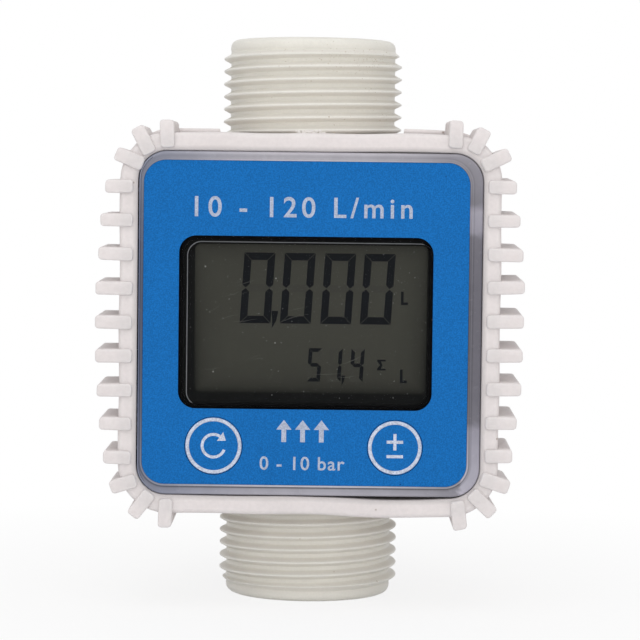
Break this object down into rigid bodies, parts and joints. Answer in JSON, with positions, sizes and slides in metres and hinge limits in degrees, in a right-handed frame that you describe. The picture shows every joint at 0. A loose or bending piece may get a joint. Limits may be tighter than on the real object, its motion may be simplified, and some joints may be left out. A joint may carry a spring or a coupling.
{
  "type": "turbine flow meter",
  "caption": "Inline turbine flow meter with a threaded plastic body, a square digital display head with two keys, and a ribbed white rubber boot.",
  "frame": {"origin": "centre of the lower (inlet) end face, on the flow axis", "axes": "+Z along the flow axis from inlet to outlet, the display faces -Y, +X to the right of the display"},
  "size_m": [0.0754, 0.0504, 0.102],
  "materials": {
    "body_plastic": "satin",
    "case_plastic": "satin",
    "boot_rubber": "matte",
    "clear_lens": "clear",
    "label_film": "satin",
    "key_film": "satin",
    "black_film": "gloss",
    "lcd": "gloss",
    "board": "gloss",
    "chip": "matte",
    "components": "satin",
    "switch": "matte",
    "contact_rubber": "matte",
    "seal_rubber": "matte",
    "screw_steel": "zinc plated",
    "flow_plastic": "satin",
    "rotor_plastic": "satin",
    "bearing": "polished",
    "steel": "polished",
    "magnet": "nickel plated",
    "sensor": "gloss",
    "battery": "gloss",
    "contact": "nickel plated"
  },
  "bodies": {
    "meter": {"flow_tube": "body_plastic", "battery_housing": "body_plastic", "inlet_straightener": "flow_plastic", "outlet_straightener": "flow_plastic", "inlet_bearing": "bearing", "outlet_bearing": "bearing", "inlet_snap_ring": "steel", "outlet_snap_ring": "steel", "left_battery": "battery", "right_battery": "battery", "battery_contacts": "contact", "battery_cover": "body_plastic", "cover_seal": "seal_rubber", "cover_screws": "screw_steel", "electronics_case": "case_plastic", "case_gasket": "seal_rubber", "case_screws": "screw_steel", "circuit_board": "board", "board_screws": "screw_steel", "controller_chip": "chip", "board_components": "components", "tact_switches": "switch", "zebra_strips": "contact_rubber", "pickup_sensor": "sensor", "lcd_glass": "lcd", "display_bezel": "black_film", "front_lens": "clear_lens", "face_label": "label_film", "protective_boot": "boot_rubber"},
    "rotor": {"turbine_rotor": "rotor_plastic", "rotor_shaft": "steel", "rotor_magnets": "magnet"},
    "reset_key": {"reset_button": "key_film", "reset_plunger": "case_plastic"},
    "calibrate_key": {"calibrate_button": "key_film", "calibrate_plunger": "case_plastic"}
  },
  "joints": [
    {"name": "rotor_spin", "type": "hinge", "parent": "meter", "child": "rotor", "pos_m": [0, 0, 0.051], "axis": [0, 0, 1], "continuous": true},
    {"name": "reset_press", "type": "slide", "parent": "meter", "child": "reset_key", "axis": [0, 1, 0], "range_m": [0, 0.0005], "stiffness_N_per_m": 400},
    {"name": "calibrate_press", "type": "slide", "parent": "meter", "child": "calibrate_key", "axis": [0, 1, 0], "range_m": [0, 0.0005], "stiffness_N_per_m": 400}
  ]
}
